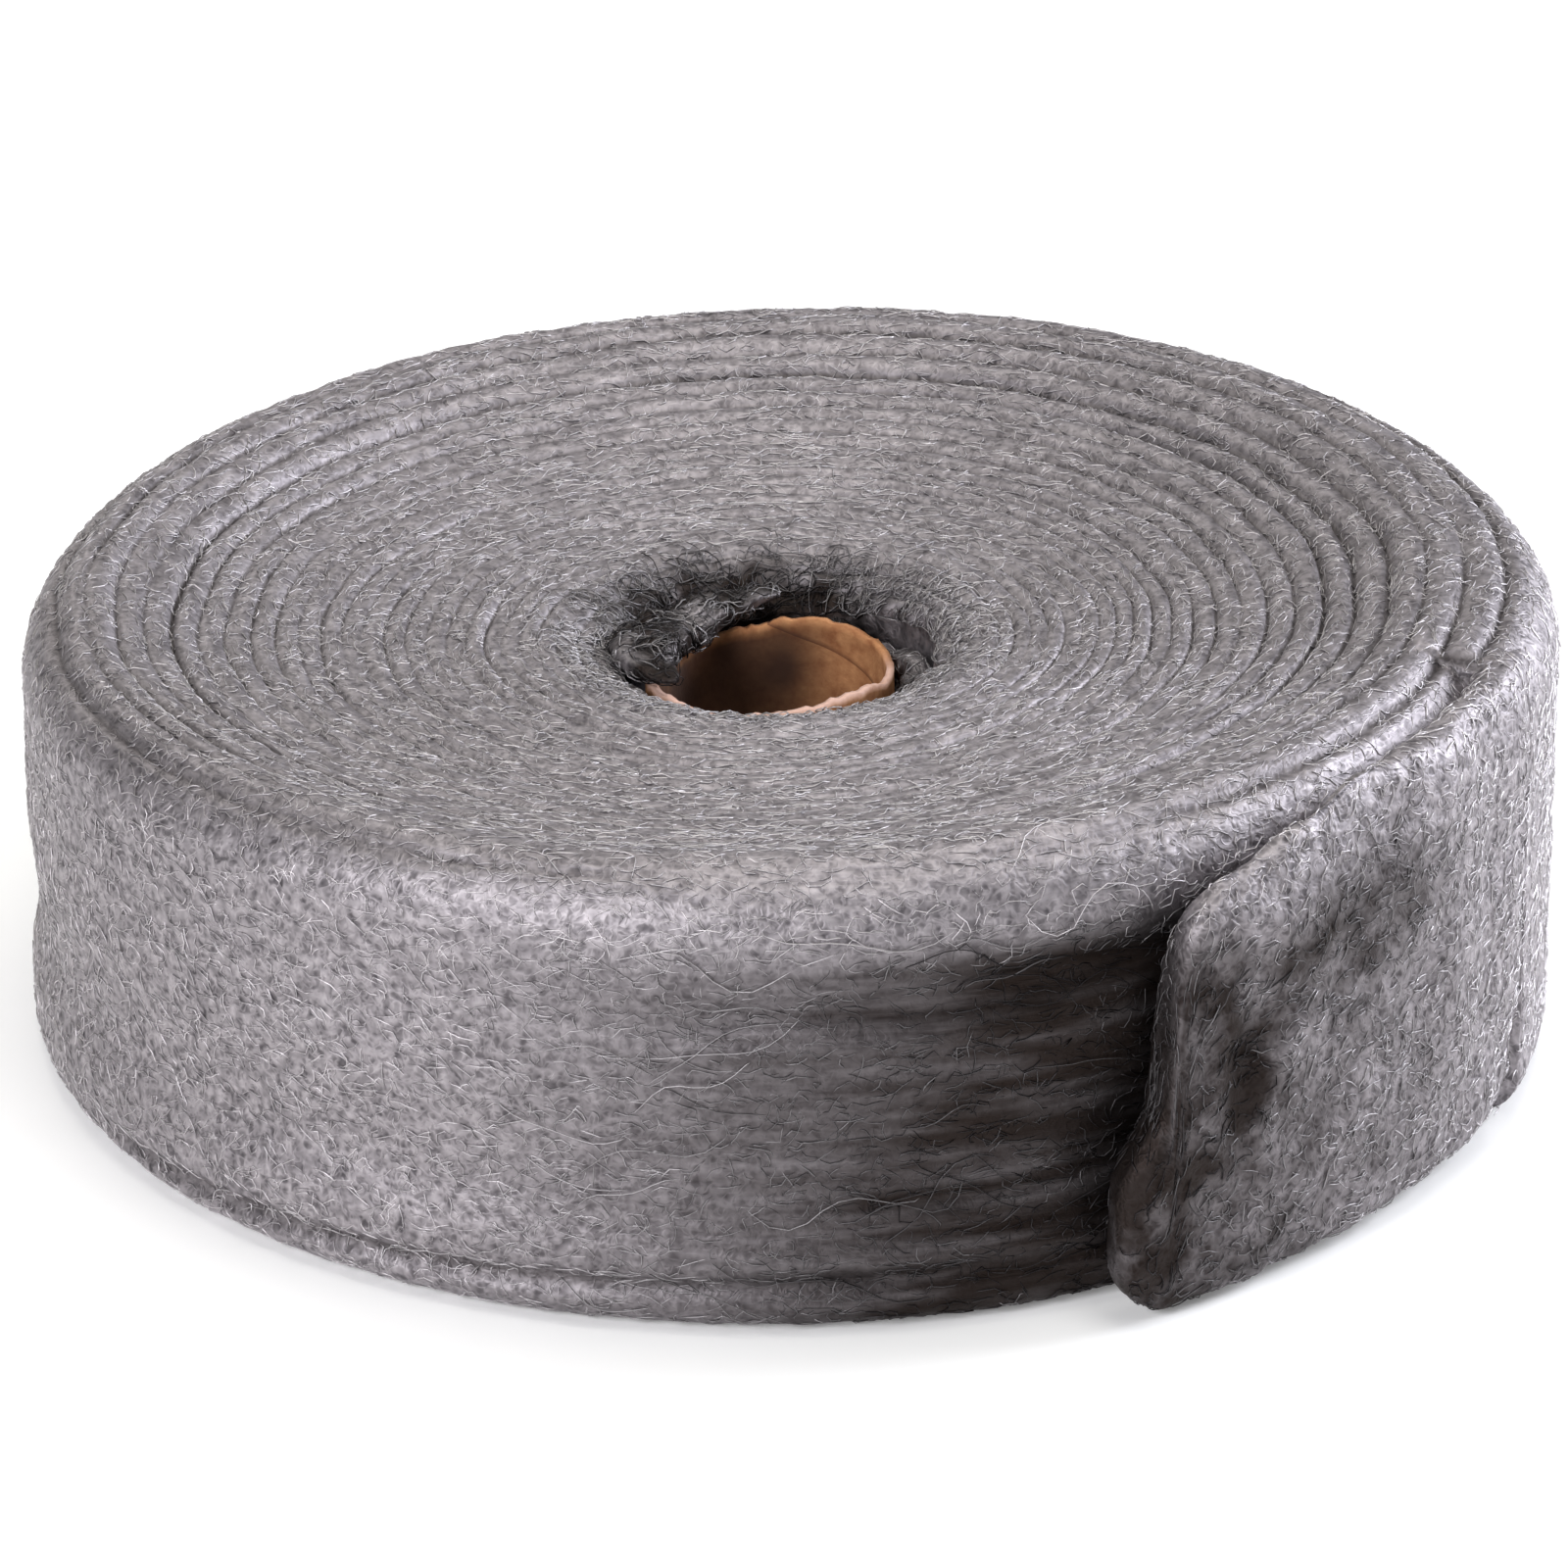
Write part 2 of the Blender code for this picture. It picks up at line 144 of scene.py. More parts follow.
def eased(share):
    share = np.clip(share, 0.0, 1.0)
    return share * share * (3 - 2 * share)


def rippled(points, size, seed):
    """Smooth noise from -1 to 1 at each point, of that size in metres."""
    flat = (points / size + seed * 17.3).reshape(-1, 3).tolist()
    return np.array([noise.noise(point) for point in flat]).reshape(points.shape[:-1])


def away_from(degrees, middle):
    return abs((degrees - middle + 180.0) % 360.0 - 180.0)


bpy.ops.object.select_all(action="DESELECT")
bpy.ops.mesh.primitive_circle_add(vertices=6, radius=TUBE_REACH, fill_type="NOTHING")
core = bpy.context.object
core.name = "crushed_tube"
for vertex, (corner, reach) in zip(core.data.vertices, TUBE_CORNERS):
    corner = math.radians(corner)
    far = TUBE_REACH * reach
    vertex.co.x = TUBE_PLACE[0] + far * math.cos(corner)
    vertex.co.y = TUBE_PLACE[1] + far * math.sin(corner)
    vertex.co.z = TUBE_FOOT
bpy.ops.object.mode_set(mode="EDIT")
bpy.ops.mesh.select_all(action="SELECT")
bpy.ops.mesh.bevel(offset=CORNER_BEND, segments=12, affect="VERTICES")
bpy.ops.mesh.select_all(action="DESELECT")
bpy.ops.object.mode_set(mode="OBJECT")
for edge in core.data.edges:
    # The six flat stretches are the long edges, and the bends are made of short ones.
    ends = [core.data.vertices[index] for index in edge.vertices]
    if (ends[0].co - ends[1].co).length > 0.004:
        edge.select = ends[0].select = ends[1].select = True
bpy.ops.object.mode_set(mode="EDIT")
bpy.ops.mesh.select_mode(type="EDGE")
bpy.ops.mesh.subdivide(number_cuts=FLAT_CUTS)
bpy.ops.mesh.select_all(action="SELECT")
for _ in range(TUBE_RINGS):
    upward = (0, 0, (TUBE_TOP - TUBE_FOOT) / TUBE_RINGS)
    bpy.ops.mesh.extrude_region_move(TRANSFORM_OT_translate={"value": upward})
bpy.ops.mesh.select_all(action="SELECT")
bpy.ops.mesh.normals_make_consistent(inside=False)
bpy.ops.object.mode_set(mode="OBJECT")
wall = core.modifiers.new("wall", "SOLIDIFY")
wall.thickness = TUBE_WALL
wall.offset = 0.0
wall.use_even_offset = True
bpy.ops.object.modifier_apply(modifier="wall")
mesh = core.data
tube = np.array([vertex.co for vertex in mesh.vertices])
from_middle = tube[:, :2] - TUBE_PLACE
tube_way = np.degrees(np.arctan2(from_middle[:, 1], from_middle[:, 0]))
dents = 0.0005 * rippled(tube, 0.016, 30) * eased((tube[:, 2] - 0.04) / 0.02)
tube[:, :2] *= (1 + dents / np.hypot(*tube[:, :2].T))[:, None]

# Tear: small teeth all along the rim, a deep one at the back left and a shallow one on the right
teeth = np.stack([np.cos(np.radians(tube_way)) * 7, np.sin(np.radians(tube_way)) * 7, 0 * tube_way], -1)
tear = 0.0009 * rippled(teeth, 1.0, 31) + 0.0004 * rippled(teeth * 2.6, 1.0, 32)
tear = tear - 0.0016 - 0.0050 * eased(1 - away_from(tube_way, 140) / 70)
tear = tear - 0.0032 * eased(1 - away_from(tube_way, 12) / 65)
near_rim = np.clip((tube[:, 2] - TUBE_TOP + 0.016) / 0.016, 0.0, 1.0)
below = TUBE_TOP - tube[:, 2]
tube[:, 2] += tear * near_rim
mesh.vertices.foreach_set("co", tube.ravel())

# Pale torn rim, which shows at the front only, and painted shade inside, darkest away from the right of the
# back and deeper down the tube
rim = eased(1 - below / 0.0017) * eased((118 - away_from(tube_way, 268)) / 25)
mesh.attributes.new("rim", "FLOAT", "POINT").data.foreach_set("value", rim.astype(np.float32))
reach = np.hypot(*from_middle.T)
halfway = np.array([reach[away_from(tube_way, middle) < 4.0].mean() for middle in range(360)])
inside = reach < halfway[np.round(tube_way).astype(int) % 360] + 0.0003
inner_shade = np.maximum(eased((away_from(tube_way, 28) - 20) / 35), 0.8 * eased((below - 0.014) / 0.016))
inner_shade = inside * eased(below / 0.006 + 0.2) * (0.10 + 0.90 * inner_shade)
inner_shade = np.clip(inner_shade * (0.95 + 0.4 * rippled(tube, 0.012, 33)), 0.0, 0.96)
mesh.attributes.new("inner_shade", "FLOAT", "POINT").data.foreach_set("value", inner_shade.astype(np.float32))
mesh.shade_smooth()

# Kraft board: brown paper pressed from long fibres, matt, with the glued edges of its plies as
# slanting lines that rise 62 mm in a turn. Where it is torn, it shows its paler inside.
PLY_RISE = 0.062
board = bpy.data.materials.new("kraft board")
board.use_nodes = True
tree = board.node_tree
shader = tree.nodes["Principled BSDF"]
shader.inputs["Roughness"].default_value = 0.85
where = add_node(tree, "ShaderNodeTexCoord").outputs["Object"]
centred = add_node(tree, "ShaderNodeVectorMath", {0: where, 1: (*TUBE_PLACE, 0.0)}, operation="SUBTRACT")
parts = add_node(tree, "ShaderNodeSeparateXYZ", {0: centred.outputs[0]}).outputs
around_way = add_node(tree, "ShaderNodeMath", {0: parts["Y"], 1: parts["X"]}, operation="ARCTAN2")
around_way = add_node(tree, "ShaderNodeMath", {0: around_way.outputs[0], 1: math.tau}, operation="DIVIDE")
rise = add_node(tree, "ShaderNodeMath", {0: parts["Z"], 1: PLY_RISE}, operation="DIVIDE")
slant = add_node(
    tree, "ShaderNodeMath", {0: rise.outputs[0], 1: around_way.outputs[0]}, operation="SUBTRACT",
)
slant = add_node(tree, "ShaderNodeMath", {0: slant.outputs[0]}, operation="FRACT")
seam = add_node(
    tree, "ShaderNodeMapRange",
    {"Value": slant.outputs[0], "From Max": 0.02, "To Min": 1.0, "To Max": 0.0},
)
fibrous = add_node(
    tree, "ShaderNodeTexNoise", {"Vector": where, "Scale": 260.0, "Detail": 4.0, "Roughness": 0.65},
)
mottle = add_node(
    tree, "ShaderNodeMapRange", {"Value": fibrous.outputs["Fac"], "From Min": 0.3, "From Max": 0.7},
)
brown = add_node(
    tree, "ShaderNodeMix", {0: mottle.outputs[0], 6: colour("#8e5833"), 7: colour("#bc875a")},
    data_type="RGBA",
)
brown = add_node(
    tree, "ShaderNodeMix", {0: seam.outputs[0], 6: brown.outputs[2], 7: colour("#6a3e22")},
    data_type="RGBA",
)
# Painted shade: the inside of the tube is darkened to a deep brown, except where light falls on the right
# of the back
painted_inner_shade = add_node(tree, "ShaderNodeAttribute", attribute_name="inner_shade")
brown = add_node(
    tree, "ShaderNodeMix", {0: painted_inner_shade.outputs["Fac"], 6: brown.outputs[2], 7: colour("#2e160a")},
    data_type="RGBA",
)
pale = add_node(tree, "ShaderNodeAttribute", attribute_name="rim")
patchy = add_node(tree, "ShaderNodeMapRange", {"Value": mottle.outputs[0], "To Min": 0.55, "To Max": 1.3})
torn_away = add_node(
    tree, "ShaderNodeMath", {0: pale.outputs["Fac"], 1: patchy.outputs[0]},
    operation="MULTIPLY", use_clamp=True,
)
brown = add_node(
    tree, "ShaderNodeMix", {0: torn_away.outputs[0], 6: brown.outputs[2], 7: colour("#c9a596")},
    data_type="RGBA",
)
tree.links.new(brown.outputs[2], shader.inputs["Base Color"])
bump = add_node(tree, "ShaderNodeBump", {"Strength": 0.5, "Distance": 0.0003, "Height": mottle.outputs[0]})
tree.links.new(bump.outputs[0], shader.inputs["Normal"])
mesh.materials.append(board)
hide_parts("core_tube")
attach(core, "root")


# Winding: a flat ribbon of grey, springy steel wool, wound clockwise into a roll of 27 turns. The rows
# of its mesh run along the turns, so that each row goes on one turn further out at the seam. Its turns
# grow from 3.6 mm at the hole to 8.4 mm outside.
WIDTH = 0.100
SIDE = 0.1626
TURNS = 27
AXIS = np.array([-0.0028, -0.0020, 0.0])
SEAM = -20.0
HOLE = 0.03173
SHOULDER = 0.015
FOOT = 0.008
SWELL = 0.0024
FIRST_TURN = 0.0036
LAST_TURN = 0.0084
GROOVE_SHARE = 0.26
PARTED_TURN = 21.3
PARTED_DEPTH = 0.0022
DISH = 0.0145
DISH_BELOW = 0.0075
PRESSED = 0.0044
FUNNEL = 0.0075
HOLLOW = 0.006
WAIST = 0.030
WAIST_DEPTH = 0.0022
CREASES = (  # First and last azimuth, first and last height, depth, reach
    (-165.0, -58.0, 0.0060, 0.0130, 0.0026, 0.0040),
    (-104.0, -50.0, 0.0680, 0.0760, 0.0024, 0.0070),
)
SHOULDER_ROWS = 14
SIDE_ROWS = 52
FOOT_ROWS = 8
HOLE_ROWS = 10
ACROSS = (0.0, 0.12, 0.37, 0.63, 0.88)
ACROSS_BELOW = (0.0, 0.2, 0.8)


def build_up(share):
    return FIRST_TURN * share + (LAST_TURN - FIRST_TURN) * np.maximum(share, 0.0) ** 3.7 / 3.7


def turn_radius(turns):
    """Radius of the ribbon's inner surface after that many turns."""
    return HOLE + (SIDE - HOLE) * build_up(turns / TURNS) / build_up(1.0)


def settled(x, y, z):
    """Points round the axis as the roll has settled: higher on the right, its middle to the left."""
    radius = np.hypot(x, y)
    along = np.clip((radius - HOLE) / (SIDE - HOLE), 0.0, 1.0)
    placed = np.stack([x - 0.005 * np.sin(np.pi * along), y, z * (1 + 0.05 * x / SIDE)], -1)
    return placed + AXIS


def rounding(distance, corner):
    inward = np.clip(corner - distance, 0.0, corner)
    return corner - np.sqrt(corner**2 - inward**2)


def winding(shares):
    """Radius, height, groove depth, turn and direction of all rows, at shares of a turn past the seam."""
    tau = shares[None, :]
    azimuth = SEAM - 360.0 * tau
    end = SEAM + 360.0 * (1 - tau)
    loosened = eased((25.0 - end) / 32.0)
    wall = turn_radius(TURNS - 1 + tau) + SWELL * loosened
    edge = turn_radius(TURNS - 2 + tau)
    radii, heights, grooves, turns = [], [], [], []

    def add(radius, height, groove, turn):
        for items, item in zip((radii, heights, grooves, turns), (radius, height, groove, turn)):
            items.append(np.broadcast_to(item, tau.shape))

    def groove_at(turn, cross):
        # The turns stand a little apart on the right and are pressed together at the front.
        slack = 0.65 + 0.35 * eased((80 - away_from(azimuth, 15)) / 45) * eased((turn - 8) / 8)
        slack = slack - 0.45 * eased((60 - away_from(azimuth, 262)) / 30) * eased((turn - 15) / 5)
        way = np.radians(azimuth)
        course = np.stack([np.cos(way) * 1.6, np.sin(way) * 1.6, turn * 0.9], -1)
        slack = np.clip(slack + 0.9 * rippled(course, 1.0, 11), 0.04, 1.4)
        outer = np.maximum(turn, 1.0)
        parted = eased(1 - abs(turn - PARTED_TURN) / 0.8)
        pitch = turn_radius(outer) - turn_radius(outer - 1)
        depth = GROOVE_SHARE * pitch * slack + PARTED_DEPTH * parted
        return depth * abs(1 - 2 * cross) ** 4

    def crease(height):
        depth = 0.0
        for first, last, start, stop, deep, reach in CREASES:
            along = (azimuth - first) / (last - first)
            fade = eased(along / 0.25) * eased((1 - along) / 0.25)
            middle = start + (stop - start) * along
            depth = depth + deep * fade * (1 - eased(abs(height - middle) / reach))
        return depth

    def dish(radius):
        crest = turn_radius(TURNS - 1) - SHOULDER
        return 1 - np.clip((radius - HOLE) / (crest - HOLE), 0.0, 1.0) ** 3

    def upper(radius, groove):
        funnel = np.clip(1 - (radius - HOLE) / 0.018, 0.0, 1.0) ** 2
        hollow = eased(1 - (radius - HOLE) / 0.017) * (1 - eased(away_from(azimuth, 95) / 75))
        fall = DISH * dish(radius) + FUNNEL * funnel + HOLLOW * hollow + groove
        return WIDTH - fall - rounding(wall - radius, SHOULDER)

    def lower(radius, groove):
        pressed_flat = np.maximum(0.0, DISH_BELOW * dish(radius) - PRESSED + groove)
        return pressed_flat + rounding(wall - radius, FOOT)

    # Upper face
    for count in range(TURNS - 2):
        for cross in ACROSS:
            turn = tau + count + cross
            groove = groove_at(turn, cross)
            add(turn_radius(turn), upper(turn_radius(turn), groove), groove, turn)
    turn = tau + TURNS - 2
    start = groove_at(turn, 0.0)
    add(edge, upper(edge, start), start, turn)
    # Shoulder
    first = np.arcsin(np.clip(1 - (wall - edge) / SHOULDER, 0.0, 1.0))
    for row in range(1, SHOULDER_ROWS + 1):
        angle = first + (np.pi / 2 - first) * row / SHOULDER_ROWS
        groove = start * max(0.0, 1 - row / 3) ** 2
        level = WIDTH - SHOULDER * (1 - np.cos(angle)) - groove
        add(wall - SHOULDER * (1 - np.sin(angle)) - crease(level), level, groove, TURNS - 1.5 + tau)
    # Side
    for row in range(1, SIDE_ROWS):
        height = np.array(WIDTH - SHOULDER - (WIDTH - SHOULDER - FOOT) * row / SIDE_ROWS)
        reach = np.where(height > WAIST, 0.028, 0.014)
        waist = WAIST_DEPTH * (1 - loosened) * (1 - eased(abs(height - WAIST) / reach))
        # Painted shade: part of the crease's depth goes in as groove depth, which darkens the wool
        add(wall - waist - crease(height), height, 0.6 * crease(height), TURNS - 1.5 + tau)
    # Foot
    first = np.arcsin(np.clip(1 - (wall - edge) / FOOT, 0.0, 1.0))
    for row in range(FOOT_ROWS, 0, -1):
        angle = first + (np.pi / 2 - first) * row / FOOT_ROWS
        level = FOOT * (1 - np.cos(angle))
        dent = crease(level)
        # Painted shade: half the dent's depth goes in as groove depth, which darkens the wool
        add(wall - FOOT * (1 - np.sin(angle)) - dent, level, 0.5 * dent, TURNS - 1.5 + tau)
    # Lower face
    add(edge, lower(edge, start), start, turn)
    for count in range(TURNS - 3, -1, -1):
        for cross in ACROSS_BELOW[::-1]:
            turn = tau + count + cross
            groove = groove_at(turn, cross)
            add(turn_radius(turn), lower(turn_radius(turn), groove), groove, turn)
    # Hole
    for row in range(1, HOLE_ROWS):
        height = heights[-row] + (heights[0] - heights[-row]) * row / HOLE_ROWS
        add(turn_radius(tau), height, np.array(0.0), tau)

    radius, height, groove, turn = (np.concatenate(item) for item in (radii, heights, grooves, turns))
    turnway = np.radians(np.broadcast_to(azimuth, radius.shape))
    return radius, height, groove, turn, turnway


# The grid overlaps itself a little at the seam, so that the fibres can run across it.
COLUMNS = 340
OVERLAP = 8
columns = np.arange(-OVERLAP, COLUMNS + 2 * OVERLAP + 1)
radius, height, groove, turn, turnway = winding(columns / COLUMNS)
rows = len(radius)
degrees = np.degrees(turnway)
place = np.stack([radius * np.cos(turnway), radius * np.sin(turnway), height], -1)

# The turns waver and stand at uneven heights, and the wool is a little fluffy. On the right of the
# front, where the turn outside it has come away, the wool lies in streaks along the turns.
on_face = np.clip((height - 0.05) / 0.03, 0.0, 1.0) * np.clip((SIDE - 0.004 - radius) / 0.01, 0.0, 1.0)
on_side = np.clip((radius - 0.145) / 0.008, 0.0, 1.0)
round_way = degrees % 360.0
streaked_shaded = eased((round_way - 236.0) / 58.0) * eased((330.0 - round_way) / 20.0)
streaked_shaded = streaked_shaded * on_side * eased((0.0890 - height) / 0.014)
wound = np.stack([np.cos(turnway) * 1.3, np.sin(turnway) * 1.3, turn * 0.9], -1)
lift = 0.0007 * rippled(wound, 1.0, 1) + 0.0004 * rippled(wound * 2.6, 1.0, 2)
fluff = 0.0004 * rippled(place, 0.009, 3) + 0.0003 * rippled(place, 0.0032, 4)
stretched = np.stack([np.cos(turnway) * 3.0, np.sin(turnway) * 3.0, (radius - height) / 0.0042], -1)
streak = 0.0007 * rippled(stretched, 1.0, 5) + 0.0004 * rippled(stretched * 2.1, 1.0, 6)
waver = 0.0012 * rippled(place * [1, 1, 0.3], 0.028, 7) * np.clip((radius - HOLE) / 0.01, 0.0, 1.0)

# Round the hole the wool is ragged, and stays clear of the tube.
from_axis = tube[:, :2] - AXIS[:2]
tube_azimuth = np.degrees(np.arctan2(from_axis[:, 1], from_axis[:, 0]))
tube_reach = np.hypot(*from_axis.T)
tube_outside = [tube_reach[away_from(tube_azimuth, middle) < 4.0].max() for middle in range(360)]
room = radius - np.interp(round_way, np.arange(360), tube_outside, period=360.0) - 0.0006
near_hole = eased(1 - (radius - HOLE) / 0.012)
ragged = 0.0024 * rippled(place, 0.0075, 12) + 0.0013 * rippled(place, 0.0034, 13)
lumpy = 0.0022 * rippled(place, 0.0068, 14) + 0.0012 * rippled(place, 0.0031, 15)
above = eased((height - 0.06) / 0.01)

radius = radius + waver * on_face + (streak * (0.12 + 0.88 * streaked_shaded) + fluff) * on_side
radius = radius + np.maximum(ragged * near_hole, -np.maximum(room, 0.0))
height = np.maximum(height + (lift + fluff) * on_face + lumpy * near_hole * above, 0.0)
winding_place = settled(radius * np.cos(turnway), radius * np.sin(turnway), height)

# Painted shade: the wool is darkened in the hollow behind the tube, and with a brownish shade on the side
# beside the loose end, where it lies in streaks.
hollow = eased(1 - (radius - HOLE) / 0.019) * (1 - eased(away_from(degrees, 104) / 88))
hollow = np.clip(hollow * (1.6 + 1.2 * rippled(place, 0.006, 16)), 0.0, 1.0) * above
shade = np.maximum(streaked_shaded * (1 + 0.35 * rippled(stretched * 1.8, 1.0, 22)), hollow)
shade = np.clip(0.97 * shade, 0.0, 0.97)
weights = {"groove": groove, "streaks": 0.35 * on_face + 0.65 * streaked_shaded, "shade": shade}

bm = bmesh.new()
bmesh.ops.create_grid(bm, x_segments=COLUMNS, y_segments=rows, size=0.5)
layers = {name: bm.verts.layers.float.new(name) for name in weights}
for vertex in bm.verts:
    column = round((vertex.co.x + 0.5) * COLUMNS)
    row = round((vertex.co.y + 0.5) * rows) % rows
    vertex.co = winding_place[row, column + OVERLAP]
    for name, layer in layers.items():
        vertex[layer] = weights[name][row, column + OVERLAP]
bmesh.ops.remove_doubles(bm, verts=bm.verts[:], dist=2e-5)
bmesh.ops.holes_fill(bm, edges=[edge for edge in bm.edges if edge.is_boundary], sides=0)
bmesh.ops.recalc_face_normals(bm, faces=bm.faces[:])
mesh = bpy.data.meshes.new("winding")
bm.to_mesh(mesh)
bm.free()
mesh.shade_smooth()
wound_ribbon = bpy.data.objects.new("wound_ribbon", mesh)
bpy.context.collection.objects.link(wound_ribbon)

# Steel wool: tangled steel fibres, too fine to show one by one. Its grain is drawn about 1 mm wide,
# as coarse as the photograph shows it, with a soft metal gloss.
wool = bpy.data.materials.new("steel wool")
wool.use_nodes = True
tree = wool.node_tree
shader = tree.nodes["Principled BSDF"]
shader.inputs["Metallic"].default_value = 1.0
shader.inputs["Roughness"].default_value = 0.6
where = add_node(tree, "ShaderNodeTexCoord").outputs["Object"]
lines = []
for scale, width, seed in ((300.0, 0.12, 0.0), (430.0, 0.12, 5.0)):
    # Curly lines, like fibres seen from above: the contour lines of a soft noise
    soft = add_node(
        tree, "ShaderNodeTexNoise",
        {"Vector": where, "W": seed, "Scale": scale, "Detail": 1.0, "Distortion": 0.6},
        noise_dimensions="4D",
    )
    middle = add_node(tree, "ShaderNodeMath", {0: soft.outputs["Fac"], 1: 0.5}, operation="SUBTRACT")
    away = add_node(tree, "ShaderNodeMath", {0: middle.outputs[0]}, operation="ABSOLUTE")
    line = add_node(
        tree, "ShaderNodeMapRange",
        {"Value": away.outputs[0], "From Max": width, "To Min": 1.0, "To Max": 0.0},
        interpolation_type="SMOOTHSTEP",
    )
    lines.append(line.outputs[0])
curls = add_node(tree, "ShaderNodeMath", {0: lines[0], 1: lines[1]}, operation="MAXIMUM")
grain = add_node(tree, "ShaderNodeTexNoise", {"Vector": where, "Scale": 430.0, "Detail": 1.5})
grain = add_node(
    tree, "ShaderNodeMapRange", {"Value": grain.outputs["Fac"], "From Min": 0.3, "From Max": 0.7},
)
curls = add_node(tree, "ShaderNodeMix", {0: 0.6, 2: curls.outputs[0], 3: grain.outputs[0]})
# Thin strata that run along the turns, on the side and on both faces
centred = add_node(tree, "ShaderNodeVectorMath", {0: where, 1: AXIS.tolist()}, operation="SUBTRACT")
parts = add_node(tree, "ShaderNodeSeparateXYZ", {0: centred.outputs[0]}).outputs
flat = add_node(tree, "ShaderNodeCombineXYZ", {0: parts["X"], 1: parts["Y"]})
reach = add_node(tree, "ShaderNodeVectorMath", {0: flat.outputs[0]}, operation="LENGTH")
way = add_node(tree, "ShaderNodeVectorMath", {0: flat.outputs[0]}, operation="NORMALIZE")
way = add_node(tree, "ShaderNodeVectorMath", {0: way.outputs[0], "Scale": 14.0}, operation="SCALE")
way = add_node(tree, "ShaderNodeSeparateXYZ", {0: way.outputs[0]}).outputs
level = add_node(tree, "ShaderNodeMath", {0: reach.outputs["Value"], 1: parts["Z"]}, operation="SUBTRACT")
level = add_node(tree, "ShaderNodeMath", {0: level.outputs[0], 1: 620.0}, operation="MULTIPLY")
along = add_node(tree, "ShaderNodeCombineXYZ", {0: way["X"], 1: way["Y"], 2: level.outputs[0]})
strata = add_node(tree, "ShaderNodeTexNoise", {"Vector": along.outputs[0], "Scale": 1.0, "Detail": 3.0})
strata = add_node(
    tree, "ShaderNodeMapRange", {"Value": strata.outputs["Fac"], "From Min": 0.3, "From Max": 0.7},
)
weight = add_node(tree, "ShaderNodeAttribute", attribute_name="streaks")
relief = add_node(
    tree, "ShaderNodeMix", {0: weight.outputs["Fac"], 2: curls.outputs[0], 3: strata.outputs[0]},
)
tone = add_node(
    tree, "ShaderNodeMix", {0: relief.outputs[0], 6: colour("#5a565a"), 7: colour("#bbb5b9")},
    data_type="RGBA",
)
# Painted shade: the wool is darkened in its grooves and creases by their depth, and by the shade value in
# the hollow behind the tube and on the side beside the loose end
deep = add_node(tree, "ShaderNodeAttribute", attribute_name="groove")
deep = add_node(
    tree, "ShaderNodeMapRange", {"Value": deep.outputs["Fac"], "From Max": 0.0018, "To Max": 0.62},
)
painted_shade = add_node(tree, "ShaderNodeAttribute", attribute_name="shade")
dark = add_node(tree, "ShaderNodeMath", {0: deep.outputs[0], 1: painted_shade.outputs["Fac"]}, operation="MAXIMUM")
shaded = add_node(
    tree, "ShaderNodeMix", {0: dark.outputs[0], 6: tone.outputs[2], 7: colour("#271f1b")},
    data_type="RGBA",
)
tree.links.new(shaded.outputs[2], shader.inputs["Base Color"])
bump = add_node(tree, "ShaderNodeBump", {"Strength": 0.45, "Distance": 0.0006, "Height": relief.outputs[0]})
tree.links.new(bump.outputs[0], shader.inputs["Normal"])
mesh.materials.append(wool)
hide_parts("wool_roll")
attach(wound_ribbon, "root")


# Ragged wool: loose wool of the first turn, which fills the pocket between the tube and the hole and
# hangs over the tube's lower back rim. It is matted and lumpy, and painted shade darkens it, with lighter
# clumps.
TUFT_AROUND = 48


